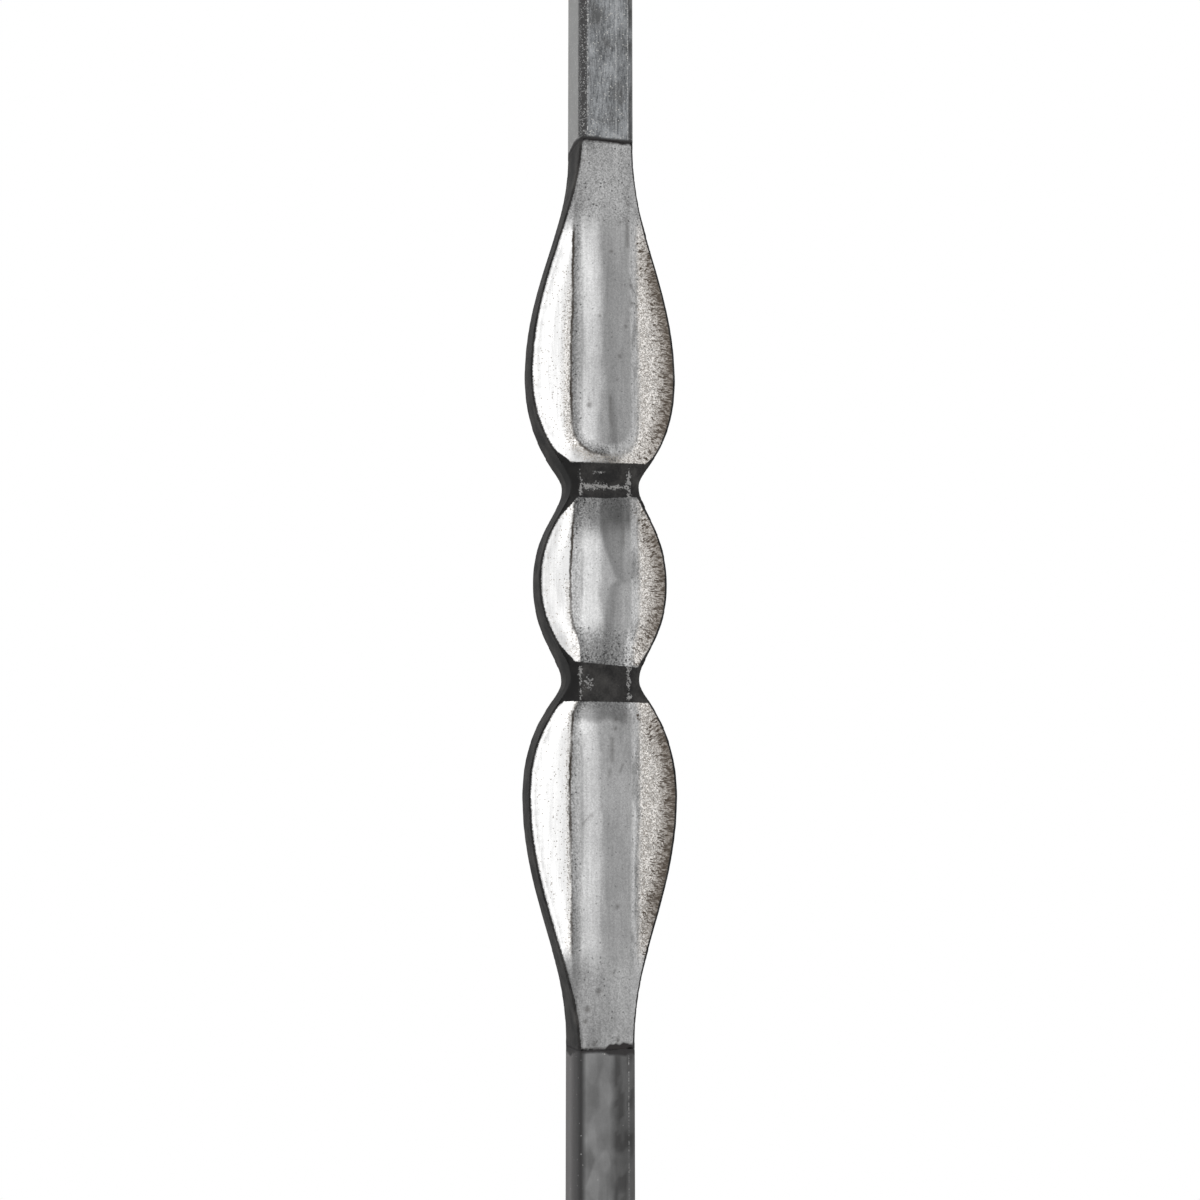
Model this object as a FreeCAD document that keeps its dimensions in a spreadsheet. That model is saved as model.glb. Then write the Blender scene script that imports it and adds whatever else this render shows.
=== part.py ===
import FreeCAD, Part

import os

import Sketcher
from FreeCAD import Vector

# A forged steel stair baluster that stands upright: a square bar, a stamped
# centre piece with a round lobe between two teardrops, and a second square
# bar, butt-welded end to end. Z is up, the origin is the middle of the bottom
# end, the broad faces look along -Y and +Y, and sizes are in millimetres.

doc = FreeCAD.newDocument("stair_baluster")

# Driving sizes

SIZES = (
    ("bar_side", 14.0, "side of the square bar"),
    ("bar_corner_radius", 1.5, "rolled corner of the bar"),
    ("baluster_length", 1000.0, "whole length"),
    ("centre_height", 500.0, "middle of the centre piece above the bottom end"),
    ("weld_bevel", 0.4, "bevel on each bar's end at its weld"),
    ("centre_half_length", 113.0, "middle of the centre piece to a weld"),
    # Front outline: half-widths, heights from the middle and how far the
    # curve runs straight along Z before it turns
    ("lobe_half_width", 16.5, "round lobe at its widest"),
    ("lobe_run", 13.6, "fullness of the round lobe"),
    ("neck_half_width", 8.8, "neck at its narrowest"),
    ("neck_height", 24.2, "narrowest place of the neck"),
    ("neck_inner_run", 6.2, "fullness of the neck towards the lobe"),
    ("neck_outer_run", 4.6, "fullness of the neck towards the teardrop"),
    ("belly_half_width", 18.9, "teardrop at its widest"),
    ("belly_height", 52.4, "widest place of the teardrop"),
    ("belly_inner_run", 17.9, "fullness of the teardrop towards the neck"),
    ("belly_outer_run", 24.3, "fullness of the teardrop towards its tail"),
    ("tail_run", 19.9, "straightness of the tail at the weld"),
    # Relief of the broad faces, as depths from the middle plane
    ("rib_flank_width", 2.1, "steep side of the rib"),
    ("rib_flank_share", 0.5, "part of the rib's rise that is in its flank"),
    ("blank_half_width", 21.0, "half-width of the area the die presses"),
    ("blank_depth", 9.0, "half-depth of the metal before the faces are pressed"),
    # Heights of the pressed sections from the middle; the belly has its own
    ("turn_height", 14.0, "where the lobe's rib starts to die out"),
    ("inner_ledge_height", 20.7, "end of the lobe's face"),
    ("outer_ledge_height", 29.5, "end of the teardrop's face"),
    ("heel_height", 33.5, "where the teardrop's rib has its full height"),
    ("shoulder_height", 40.0, "where the teardrop's wings level out"),
    ("flank_height", 82.0, "where the wings start to rise to the tail"),
    ("throat_height", 99.0, "where the wings run out"),
    ("collar_height", 107.0, "where the tail is nearly square"),
    # Neck section
    ("neck_face_half_width", 6.5, "flat front of the neck"),
    ("neck_face_depth", 6.4, "front of the neck beside its ledges"),
    ("neck_valley_depth", 6.0, "front of the neck along its crease"),
    ("neck_corner_width", 2.4, "sloping corner of the neck"),
    ("neck_corner_drop", 1.1, "depth of that corner"),
    # Section at each weld
    ("tail_corner_width", 1.2, "sloping corner at the weld, as wide as it is deep"),
    ("tail_corner_overrun", 0.3, "how far that corner runs past the bar's side"),
    ("face_crown", 0.05, "slight rise of a flat face to its middle"),
    ("flat_edge_fall", 1.2, "drop from such a corner to the blank's edge"),
)

# The pressed sections of one broad face: half-width of the rib at its foot,
# then depths of its crest, of its foot and of the wing at the blank's edge
SECTIONS = (
    ("middle", 8.3, 7.4, 4.4, 3.6),
    ("turn", 7.9, 7.15, 5.3, 4.0),
    ("inner_ledge", 6.9, 6.85, 6.5, 3.0),
    ("outer_ledge", 6.9, 6.85, 6.5, 3.0),
    ("heel", 7.9, 7.2, 5.5, 4.2),
    ("shoulder", 8.3, 7.3, 4.7, 3.9),
    ("belly", 8.3, 7.4, 4.4, 3.7),
    ("flank", 8.3, 7.3, 4.3, 3.6),
    ("throat", 8.3, 7.1, 4.8, 4.2),
    ("collar", 7.6, 7.05, 5.8, 5.2),
)

sheet = doc.addObject("Spreadsheet::Sheet", "Sizes")
row = 0


def put_size(alias, value, meaning):
    """Write one named size into the next row of the sheet."""
    global row
    row += 1
    sheet.set("A%d" % row, alias)
    sheet.set("B%d" % row, str(value))
    sheet.set("C%d" % row, meaning)
    sheet.setAlias("B%d" % row, alias)


for alias, value, meaning in SIZES:
    put_size(alias, value, meaning)
for name, foot_half, crest, foot, edge in SECTIONS:
    put_size(name + "_foot_half", foot_half, "half-width of the rib at its foot")
    put_size(name + "_crest", crest, "depth of the rib's crest")
    put_size(name + "_foot", foot, "depth of the rib's foot")
    put_size(name + "_edge", edge, "depth of the wing at the blank's edge")
doc.recompute()


def size(alias):
    """Return a sheet value, as the starting place of a sketched point."""
    return float(getattr(sheet, alias))


# Sketch helpers


def new_body(label):
    """Make an empty body with its own label."""
    body = doc.addObject("PartDesign::Body", label)
    body.Label = label
    return body


def origin_plane(body, role):
    """Find one of the body's own origin planes by its role."""
    return [part for part in body.Origin.OriginFeatures if part.Role == role][0]


def new_sketch(body, name, role, offset=None):
    """Attach a sketch to an origin plane, raised by a sheet expression."""
    sketch = body.newObject("Sketcher::SketchObject", name)
    sketch.AttachmentSupport = (origin_plane(body, role), [""])
    sketch.MapMode = "FlatFace"
    if offset:
        sketch.setExpression("AttachmentOffset.Base.z", offset)
    return sketch


def bind(sketch, kind, where, rule):
    """Add a distance constraint that follows a sheet expression.

    where is (geometry, point, geometry, point) and the distance runs from the
    first to the second; the solver's starting value is measured in place.
    """
    start = sketch.getPoint(where[0], where[1])
    end = sketch.getPoint(where[2], where[3])
    gap = end.x - start.x if kind == "DistanceX" else end.y - start.y
    index = sketch.addConstraint(Sketcher.Constraint(kind, *where, gap))
    sketch.setExpression("Constraints[%d]" % index, rule)


def join(sketch, first, second):
    """Make the end of one edge the start of the next."""
    sketch.addConstraint(Sketcher.Constraint("Coincident", first, 2, second, 1))


def edges_where(shape, wanted):
    """Name the edges whose bounding box passes a test."""
    return ["Edge%d" % (number + 1) for number, edge in enumerate(shape.Edges)
            if wanted(edge.BoundBox)]


# A sketch's own two axes, by their index, and the point where they cross
X_AXIS, Y_AXIS = -1, -2
ORIGIN = (X_AXIS, 1)
# How near two heights lie that count as one, in millimetres
TOUCH = 0.001


def outline_sketch(body):
    """Draw the upper right quarter of the centre piece's front outline.

    Three curves with upright ends join the widest and narrowest places: round
    lobe to neck, neck to teardrop, and teardrop to weld.
    """
    sketch = new_sketch(body, "outline", "XZ_Plane")
    half_bar = "Sizes.bar_side / 2"
    stops = (
        ("Sizes.lobe_half_width", "0 mm", None, "Sizes.lobe_run"),
        ("Sizes.neck_half_width", "Sizes.neck_height",
         "Sizes.neck_inner_run", "Sizes.neck_outer_run"),
        ("Sizes.belly_half_width", "Sizes.belly_height",
         "Sizes.belly_inner_run", "Sizes.belly_outer_run"),
        (half_bar, "Sizes.centre_half_length", "Sizes.tail_run", None),
    )
    places = (
        (size("lobe_half_width"), 0.0, 0.0, size("lobe_run")),
        (size("neck_half_width"), size("neck_height"),
         size("neck_inner_run"), size("neck_outer_run")),
        (size("belly_half_width"), size("belly_height"),
         size("belly_inner_run"), size("belly_outer_run")),
        (size("bar_side") / 2, size("centre_half_length"), size("tail_run"), 0.0),
    )
    curves = []
    for (x0, z0, _, run0), (x1, z1, run1, _) in zip(places, places[1:]):
        poles = [Vector(x0, z0), Vector(x0, z0 + run0),
                 Vector(x1, z1 - run1), Vector(x1, z1)]
        curve = Part.BSplineCurve(poles, None, None, False, 3, None, False)
        index = sketch.addGeometry(curve, False)
        sketch.exposeInternalGeometry(index)
        curves.append(index)
    # The frame closes the quarter along the two axes of symmetry
    top = size("centre_half_length")
    closing = sketch.addGeometry([
        Part.LineSegment(Vector(places[3][0], top), Vector(0, top)),
        Part.LineSegment(Vector(0, top), Vector(0, 0)),
        Part.LineSegment(Vector(0, 0), Vector(places[0][0], 0)),
    ], False)
    for first, second in zip(curves, curves[1:]):
        join(sketch, first, second)
    join(sketch, curves[-1], closing[0])
    join(sketch, closing[0], closing[1])
    join(sketch, closing[1], closing[2])
    join(sketch, closing[2], curves[0])
    sketch.addConstraint(Sketcher.Constraint("Coincident", closing[1], 2, *ORIGIN))
    sketch.addConstraint(Sketcher.Constraint("Horizontal", closing[0]))
    sketch.addConstraint(Sketcher.Constraint("Vertical", closing[1]))
    sketch.addConstraint(Sketcher.Constraint("Horizontal", closing[2]))
    # Each curve's end points take their places, and its inner poles lie
    # straight above or below them
    for index, (low, high) in zip(curves, zip(stops, stops[1:])):
        bind(sketch, "DistanceX", (*ORIGIN, index, 2), high[0])
        bind(sketch, "DistanceY", (*ORIGIN, index, 2), high[1])
        lower_pole = index + 2
        upper_pole = index + 3
        bind(sketch, "DistanceX", (*ORIGIN, lower_pole, 3), low[0])
        bind(sketch, "DistanceY", (index, 1, lower_pole, 3), low[3])
        bind(sketch, "DistanceX", (*ORIGIN, upper_pole, 3), high[0])
        bind(sketch, "DistanceY", (upper_pole, 3, index, 2), high[2])
    bind(sketch, "DistanceX", (*ORIGIN, curves[0], 1), stops[0][0])
    return sketch


def face_sketch(body, name, height, foot_half, flank, crest, shoulder, foot, edge):
    """Draw the space in front of one broad face at one height.

    Its inner side is the face itself: a wing, the rib's flank, the arched
    crown, the other flank and the other wing. The sizes are sheet expressions.
    """
    sketch = new_sketch(body, name, "XY_Plane", height)
    wide = size("blank_half_width")
    deep = size("blank_depth")
    # Starting places only: the middle section's
    low = size("middle_foot")
    high = size("middle_crest")
    rim = Vector(wide, -size("middle_edge"))
    hollow = Vector(size("middle_foot_half"), -low)
    ridge = Vector(hollow.x - size("rib_flank_width"), -(low + high) / 2)
    top = Vector(0, -high)
    out = Vector(wide, -deep)

    def other(point):
        return Vector(-point.x, point.y)

    lines = sketch.addGeometry([
        Part.LineSegment(other(rim), other(hollow)),
        Part.LineSegment(other(hollow), other(ridge)),
        Part.Arc(other(ridge), top, ridge),
        Part.LineSegment(ridge, hollow),
        Part.LineSegment(hollow, rim),
        Part.LineSegment(rim, out),
        Part.LineSegment(out, other(out)),
        Part.LineSegment(other(out), other(rim)),
    ], False)
    wing_l, flank_l, crown, flank_r, wing_r, side_r, front, side_l = lines
    # An arc runs anticlockwise, so the crown's own start is found by place
    left_end = 1 if sketch.getPoint(crown, 1).x < 0 else 2
    right_end = 3 - left_end
    crest_point = sketch.addGeometry(Part.Point(top), True)
    fix = sketch.addConstraint
    fix(Sketcher.Constraint("Coincident", wing_l, 2, flank_l, 1))
    fix(Sketcher.Constraint("Coincident", flank_l, 2, crown, left_end))
    fix(Sketcher.Constraint("Coincident", crown, right_end, flank_r, 1))
    fix(Sketcher.Constraint("Coincident", flank_r, 2, wing_r, 1))
    join(sketch, wing_r, side_r)
    join(sketch, side_r, front)
    join(sketch, front, side_l)
    join(sketch, side_l, wing_l)
    fix(Sketcher.Constraint("Symmetric", wing_l, 1, wing_r, 2, Y_AXIS))
    fix(Sketcher.Constraint("Symmetric", flank_l, 1, flank_r, 2, Y_AXIS))
    fix(Sketcher.Constraint("Symmetric", flank_l, 2, flank_r, 1, Y_AXIS))
    fix(Sketcher.Constraint("Symmetric", front, 1, front, 2, Y_AXIS))
    fix(Sketcher.Constraint("Vertical", side_r))
    fix(Sketcher.Constraint("PointOnObject", crest_point, 1, crown))
    fix(Sketcher.Constraint("PointOnObject", crest_point, 1, Y_AXIS))
    bind(sketch, "DistanceX", (*ORIGIN, wing_r, 2), "Sizes.blank_half_width")
    bind(sketch, "DistanceY", (wing_r, 2, *ORIGIN), edge)
    bind(sketch, "DistanceX", (*ORIGIN, flank_r, 2), foot_half)
    bind(sketch, "DistanceY", (flank_r, 2, *ORIGIN), foot)
    bind(sketch, "DistanceX", (flank_r, 1, flank_r, 2), flank)
    bind(sketch, "DistanceY", (flank_r, 1, *ORIGIN), shoulder)
    bind(sketch, "DistanceY", (crest_point, 1, *ORIGIN), crest)
    bind(sketch, "DistanceY", (front, 1, *ORIGIN), "Sizes.blank_depth")
    return sketch


def rib_section(body, name, side="+"):
    """Draw a lobe's face section at its height above or below the middle."""
    crest = "Sizes.%s_crest" % name
    foot = "Sizes.%s_foot" % name
    shoulder = "%s + (%s - %s) * Sizes.rib_flank_share" % (foot, crest, foot)
    label = name + ("_section" if side == "+" else "_section_below")
    height = side + "Sizes.%s_height" % name if name != "middle" else None
    return face_sketch(
        body, label, height, "Sizes.%s_foot_half" % name,
        "Sizes.rib_flank_width", crest, shoulder, foot, "Sizes.%s_edge" % name)


def flat_section(body, name, height, half_width, corner, drop, depth, overrun=""):
    """Draw a face section that is flat between two sloping corners."""
    return face_sketch(
        body, name + "_section", height, half_width + overrun, corner,
        depth, depth + " - Sizes.face_crown", depth + " - " + drop,
        depth + " - " + drop + " - Sizes.flat_edge_fall")


# Features


def press(body, name, sections, ruled=False):
    """Cut the space that a run of face sections encloses out of the blank."""
    loft = body.newObject("PartDesign::SubtractiveLoft", name)
    loft.Profile = sections[0]
    loft.Sections = sections[1:]
    loft.Ruled = ruled
    doc.recompute()
    return loft


def repeat_mirrored(body, name, originals, roles):
    """Copy features across one or more of the body's origin planes."""
    group = body.newObject("PartDesign::MultiTransform", name)
    group.Originals = originals
    mirrors = []
    for role in roles:
        mirror = body.newObject("PartDesign::Mirrored", name + "_" + role[:2].lower())
        mirror.MirrorPlane = (origin_plane(body, role), [""])
        mirrors.append(mirror)
    group.Transformations = mirrors
    body.Tip = group
    doc.recompute()
    return group


# Sub-parts


def forged_centre():
    """Build the stamped piece: a padded outline, then its pressed faces."""
    body = new_body("forged_centre")
    outline = outline_sketch(body)
    blank = body.newObject("PartDesign::Pad", "blank_quarter")
    blank.Profile = outline
    blank.Midplane = True
    blank.setExpression("Length", "2 * Sizes.blank_depth")
    doc.recompute()
    repeat_mirrored(body, "blank", [blank], ["YZ_Plane", "XY_Plane"])

    weld_end = flat_section(
        body, "weld_end", "Sizes.centre_half_length", "Sizes.bar_side / 2",
        "Sizes.tail_corner_width", "Sizes.tail_corner_width",
        "Sizes.bar_side / 2", " + Sizes.tail_corner_overrun")
    names = ["outer_ledge", "heel", "shoulder", "belly", "flank", "throat", "collar"]
    stations = [rib_section(body, name) for name in names] + [weld_end]
    teardrop = press(body, "teardrop_face", stations)

    neck_half = "Sizes.neck_face_half_width + Sizes.neck_corner_width"
    neck_stations = [
        flat_section(body, name, height, neck_half, "Sizes.neck_corner_width",
                     "Sizes.neck_corner_drop", depth)
        for name, height, depth in (
            ("neck_inner", "Sizes.inner_ledge_height", "Sizes.neck_face_depth"),
            ("neck_crease", "Sizes.neck_height", "Sizes.neck_valley_depth"),
            ("neck_outer", "Sizes.outer_ledge_height", "Sizes.neck_face_depth"))]
    neck = press(body, "neck_face", neck_stations, ruled=True)
    repeat_mirrored(body, "outer_faces", [teardrop, neck], ["XZ_Plane", "XY_Plane"])

    lobe_stations = [
        rib_section(body, "inner_ledge", "-"), rib_section(body, "turn", "-"),
        rib_section(body, "middle"),
        rib_section(body, "turn"), rib_section(body, "inner_ledge")]
    lobe = press(body, "lobe_face", lobe_stations)
    repeat_mirrored(body, "lobe_faces", [lobe], ["XZ_Plane"])
    body.setExpression("Placement.Base.z", "Sizes.centre_height")
    return body


def bar(label, length, weld_is_up, height=None):
    """Build a square bar with rolled corners and a bevelled weld end."""
    body = new_body(label)
    half = size("bar_side") / 2
    sketch = new_sketch(body, label + "_section", "XY_Plane")
    corners = [Vector(-half, -half), Vector(half, -half),
               Vector(half, half), Vector(-half, half)]
    sides = sketch.addGeometry([
        Part.LineSegment(first, second)
        for first, second in zip(corners, corners[1:] + corners[:1])], False)
    for first, second in zip(sides, sides[1:] + sides[:1]):
        join(sketch, first, second)
    front, right, back, left = sides
    for kind, side in (("Horizontal", front), ("Horizontal", back),
                       ("Vertical", right), ("Vertical", left)):
        sketch.addConstraint(Sketcher.Constraint(kind, side))
    sketch.addConstraint(Sketcher.Constraint("Symmetric", front, 1, back, 1, *ORIGIN))
    bind(sketch, "DistanceX", (front, 1, front, 2), "Sizes.bar_side")
    bind(sketch, "DistanceY", (right, 1, right, 2), "Sizes.bar_side")
    pad = body.newObject("PartDesign::Pad", label + "_length")
    pad.Profile = sketch
    pad.setExpression("Length", length)
    doc.recompute()

    upright = edges_where(pad.Shape, lambda box: box.ZLength > half)
    rolled = body.newObject("PartDesign::Fillet", label + "_corners")
    rolled.Base = (pad, upright)
    rolled.setExpression("Radius", "Sizes.bar_corner_radius")
    doc.recompute()

    limits = rolled.Shape.BoundBox
    weld = limits.ZMax if weld_is_up else limits.ZMin
    rim = edges_where(rolled.Shape, lambda box: box.ZLength < TOUCH
                      and abs(box.ZMin - weld) < TOUCH)
    bevel = body.newObject("PartDesign::Chamfer", label + "_weld_bevel")
    bevel.Base = (rolled, rim)
    bevel.setExpression("Size", "Sizes.weld_bevel")
    body.Tip = bevel
    if height:
        body.setExpression("Placement.Base.z", height)
    return body


parts = [
    bar("lower_bar", "Sizes.centre_height - Sizes.centre_half_length", True),
    forged_centre(),
    bar("upper_bar",
        "Sizes.baluster_length - Sizes.centre_height - Sizes.centre_half_length",
        False, "Sizes.centre_height + Sizes.centre_half_length"),
]
doc.recompute()

# Check and write

for item in doc.Objects:
    if "Invalid" in item.State or "Error" in item.State:
        raise RuntimeError("%s did not recompute: %s" % (item.Name, item.State))
os.makedirs("parts", exist_ok=True)
for part in parts:
    shape = part.Shape
    if shape.isNull() or not shape.isValid() or len(shape.Solids) != 1:
        raise RuntimeError(part.Label + " is not one valid solid")
for part in parts:
    box = part.Shape.optimalBoundingBox(True, False)
    print("%s: %.0f mm3, x %.2f..%.2f, y %.2f..%.2f, z %.2f..%.2f" % (
        part.Label, part.Shape.Volume, box.XMin, box.XMax, box.YMin, box.YMax,
        box.ZMin, box.ZMax))
    part.Shape.exportStep("parts/%s.step" % part.Label)
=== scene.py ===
import math
from types import SimpleNamespace

import bpy
import numpy as np
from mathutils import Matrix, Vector, noise


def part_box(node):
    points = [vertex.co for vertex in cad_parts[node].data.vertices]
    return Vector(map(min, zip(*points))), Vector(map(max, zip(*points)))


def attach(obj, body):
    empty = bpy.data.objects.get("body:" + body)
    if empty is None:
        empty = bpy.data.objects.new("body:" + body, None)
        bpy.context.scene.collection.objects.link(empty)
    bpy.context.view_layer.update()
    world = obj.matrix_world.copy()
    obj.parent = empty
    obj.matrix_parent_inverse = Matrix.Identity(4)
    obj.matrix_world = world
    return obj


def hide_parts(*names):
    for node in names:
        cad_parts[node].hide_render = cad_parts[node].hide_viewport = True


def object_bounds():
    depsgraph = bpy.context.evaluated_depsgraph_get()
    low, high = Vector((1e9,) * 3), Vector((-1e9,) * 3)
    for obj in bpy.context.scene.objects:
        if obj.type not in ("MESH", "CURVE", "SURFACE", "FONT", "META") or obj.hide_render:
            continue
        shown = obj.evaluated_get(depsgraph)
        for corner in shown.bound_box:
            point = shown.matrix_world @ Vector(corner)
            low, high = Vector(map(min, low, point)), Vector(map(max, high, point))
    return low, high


# A forged steel stair baluster: two square bars butt-welded to a stamped
# centre piece that has a round lobe between two teardrops. Lengths below are
# in millimetres unless a name says otherwise, and heights of the centre
# piece are measured up from its middle. Left and right are as seen by someone
# who looks at the broad face that a point is on.

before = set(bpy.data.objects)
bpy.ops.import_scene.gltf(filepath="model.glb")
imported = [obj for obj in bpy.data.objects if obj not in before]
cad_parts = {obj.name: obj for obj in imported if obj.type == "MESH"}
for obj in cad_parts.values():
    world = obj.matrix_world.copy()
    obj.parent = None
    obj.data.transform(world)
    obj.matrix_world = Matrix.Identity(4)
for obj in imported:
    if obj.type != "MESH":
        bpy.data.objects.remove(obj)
cad_low, cad_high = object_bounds()

MM = 0.001

# Places taken from the solids

centre_low, centre_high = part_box("forged_centre")
bar_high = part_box("upper_bar")[1]
MIDDLE = (centre_low.z + centre_high.z) / 2 / MM
HALF_LENGTH = (centre_high.z - centre_low.z) / 2 / MM
HALF_BAR = bar_high.x / MM

# Heights on the centre piece: a neck's two ledges, its middle and its crease,
# the teardrops' widest place and the wings' tips, the upper rib's end and the
# length over which it closes, and where the corners sloped by a ledge end

INNER_LEDGE = 20.7
OUTER_LEDGE = 29.5
NECK_MIDDLE = 25.0
NECK_CREASE = 23.7
WIDEST = 52.0
WING_TIP = 93.0
RIB_END = 31.7
RIB_END_RUN = 9.3
CORNER_END = 33.5

# Powers of the curve that closes the upper rib, across it and along it

RIB_END_ACROSS = 2.66
RIB_END_ALONG = 2.5

# Widths on it: half of the neck's flat and of the rib, the rib's flank, and
# the rounding of the rim

NECK_CORNER = 6.6
RIB_HALF = 8.3
RIB_FLANK = 2.1
RIM_ROLL = 0.55

# The bars' corner radius, how far a remesh rounds an end, and the length at a
# weld over which the centre piece is given its section back

BAR_CORNER = 0.8
END_ROUNDING = 0.5
SECTION_RUN = 1.6

# Grain of the meshes, and steps of the measuring

CENTRE_GRAIN = 0.46
BAR_GRAIN = 0.80
OUTLINE_ROWS = 452
SECTION_STEPS = 121
POINTS_AT_ONCE = 4000

# Moves that leave the height alone

LEVEL = np.array([1.0, 1.0, 0.0])

# Values of the stored fields: off the ground faces, clear of the strip and of
# the painted glint lines, and the reach past which a bar's right edge is all darker

NOT_GROUND = -1.5
CLEAR_OF_STRIP = 9.0
CLEAR_OF_LINES = 99.0
FAR_REACH = 3.0


# Mesh helpers


def select_only(piece):
    """Make one piece the selected and active one."""
    bpy.ops.object.select_all(action="DESELECT")
    piece.select_set(True)
    bpy.context.view_layer.objects.active = piece


def apply_modifier(piece, kind, **settings):
    """Add a modifier with its settings and apply it."""
    select_only(piece)
    modifier = piece.modifiers.new(kind.title(), kind)
    for name, value in settings.items():
        setattr(modifier, name, value)
    bpy.ops.object.modifier_apply(modifier=modifier.name)


def skin_over(node, name, grain):
    """Copy a solid's mesh, close its seams and remesh it in even quads."""
    piece = bpy.data.objects.new(name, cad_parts[node].data.copy())
    bpy.context.scene.collection.objects.link(piece)
    piece.data.name = name
    piece.data.materials.clear()
    select_only(piece)
    bpy.ops.object.mode_set(mode="EDIT")
    bpy.ops.mesh.select_all(action="SELECT")
    bpy.ops.mesh.remove_doubles(threshold=0.01 * MM)
    bpy.ops.mesh.normals_make_consistent(inside=False)
    bpy.ops.object.mode_set(mode="OBJECT")
    apply_modifier(piece, "REMESH", mode="VOXEL", voxel_size=grain * MM,
                   use_smooth_shade=True)
    apply_modifier(piece, "SMOOTH", factor=0.5, iterations=2)
    return piece


def read_points(piece):
    """Return the vertices as rows of x, y and height from the middle."""
    points = np.zeros(len(piece.data.vertices) * 3)
    piece.data.vertices.foreach_get("co", points)
    points = points.reshape(-1, 3) / MM
    points[:, 2] -= MIDDLE
    return points


def write_points(piece, points):
    """Put such rows back as the vertices."""
    moved = points.copy()
    moved[:, 2] += MIDDLE
    piece.data.vertices.foreach_set("co", (moved * MM).ravel())
    piece.data.update()


def read_normals(piece):
    """Return the vertex normals."""
    normals = np.zeros(len(piece.data.vertices) * 3)
    piece.data.vertex_normals.foreach_get("vector", normals)
    return normals.reshape(-1, 3)


def store(piece, name, values):
    """Keep one number for each vertex, for the material to read."""
    field = piece.data.attributes.new(name, "FLOAT", "POINT")
    field.data.foreach_set("value", np.asarray(values, dtype=np.float32))


def ease(values, start, end):
    """Rise smoothly from 0 at start to 1 at end."""
    share = np.clip((values - start) / (end - start), 0.0, 1.0)
    return share * share * (3 - 2 * share)


def fall(values, start, end):
    """Fall smoothly from 1 at start to 0 at end."""
    return ease(-values, -end, -start)


def hump(values, middle, width):
    """A rounded hump, 1 at its middle and nearly 0 at twice its width."""
    return np.exp(-((values - middle) / width) ** 2)


def rough_field(points, size, shift, octaves=3, rates=(1.0, 1.0, 1.0)):
    """Even noise of about -1 to 1 whose lumps have the given size.

    Different shifts give unlike patterns. A rate below 1 draws the lumps out
    along its axis.
    """
    moved = Vector((shift, shift, shift))
    return np.array([
        noise.fractal(Vector(place) / size + moved, 1.0, 2.0, octaves)
        for place in (points * np.array(rates)).tolist()])


# Fields of the centre piece. Beside a place, the numbers are millimetres; the
# factors are depths in millimetres or shares of brightness, set against
# the photograph.


def outline_of(points):
    """Measure the half-width of the outline at each height, in even steps."""
    heights = np.linspace(-HALF_LENGTH, HALF_LENGTH, OUTLINE_ROWS)
    step = heights[1] - heights[0]
    row = ((points[:, 2] + HALF_LENGTH) / step).round().astype(int)
    widths = np.zeros(OUTLINE_ROWS)
    np.maximum.at(widths, np.clip(row, 0, OUTLINE_ROWS - 1), np.abs(points[:, 0]))
    kernel = np.array([1, 2, 3, 2, 1]) / 9
    padded = np.pad(widths, 2, mode="edge")
    return heights, np.convolve(padded, kernel, mode="valid")


def rim_and_run(points, heights, widths):
    """Distance of each point from the outline, and how far along it lies."""
    steps = np.hypot(np.diff(heights), np.diff(widths))
    runs = np.concatenate([[0], np.cumsum(steps)])
    rim = np.zeros(len(points))
    run = np.zeros(len(points))
    for start in range(0, len(points), POINTS_AT_ONCE):
        some = slice(start, start + POINTS_AT_ONCE)
        part = points[some]
        gap = np.hypot(np.abs(part[:, 0])[:, None] - widths[None, :],
                       part[:, 2][:, None] - heights[None, :])
        nearest = gap.argmin(axis=1)
        rim[some] = gap[np.arange(len(part)), nearest]
        run[some] = runs[nearest]
    return rim, run


def from_rib_foot(x, height):
    """Distance from the line of the rib's foot, seen from the front.

    It is negative on the rib. The upper teardrop's rib closes in a round end;
    the lower one's and the round lobe's only narrow towards their ledges.
    """
    away = np.abs(height)
    swell = 0.5 * hump(away, WIDEST, 15.0) + 0.5 * hump(away, 0.0, 12.0)
    out = np.maximum(np.abs(x) - swell, 0.0)
    closing = np.clip((RIB_END + RIB_END_RUN - away) / RIB_END_RUN, 0.0, None)
    round_end = RIB_HALF * (
        ((out / RIB_HALF) ** RIB_END_ACROSS + closing ** RIB_END_ALONG)
        ** (1 / RIB_END_ACROSS) - 1)
    narrow_end = out - RIB_HALF + 1.0 * fall(away, OUTER_LEDGE, CORNER_END)
    lobe = out - RIB_HALF + 1.6 * fall(height, -17.0, -9.0)
    teardrop = np.where(height > 0, round_end, narrow_end)
    return np.where(away > NECK_MIDDLE, teardrop, lobe)


def corner_cut_at(height, hand):
    """How far from the outline the ground face starts, wide at a ledge."""
    away = np.abs(height)
    share = 1.0 - 0.5 * ease(hand, -2.0, 2.0)
    upper = 1.3 * fall(away, OUTER_LEDGE + 0.2, CORNER_END) ** 1.4
    lower = 0.4 * fall(away, OUTER_LEDGE, 31.0)
    lobe = 1.2 * ease(away, 15.0, INNER_LEDGE) ** 1.3
    teardrop = np.where(height > 0, upper, lower)
    return RIM_ROLL + share * np.where(away > NECK_MIDDLE, teardrop, lobe)


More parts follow.
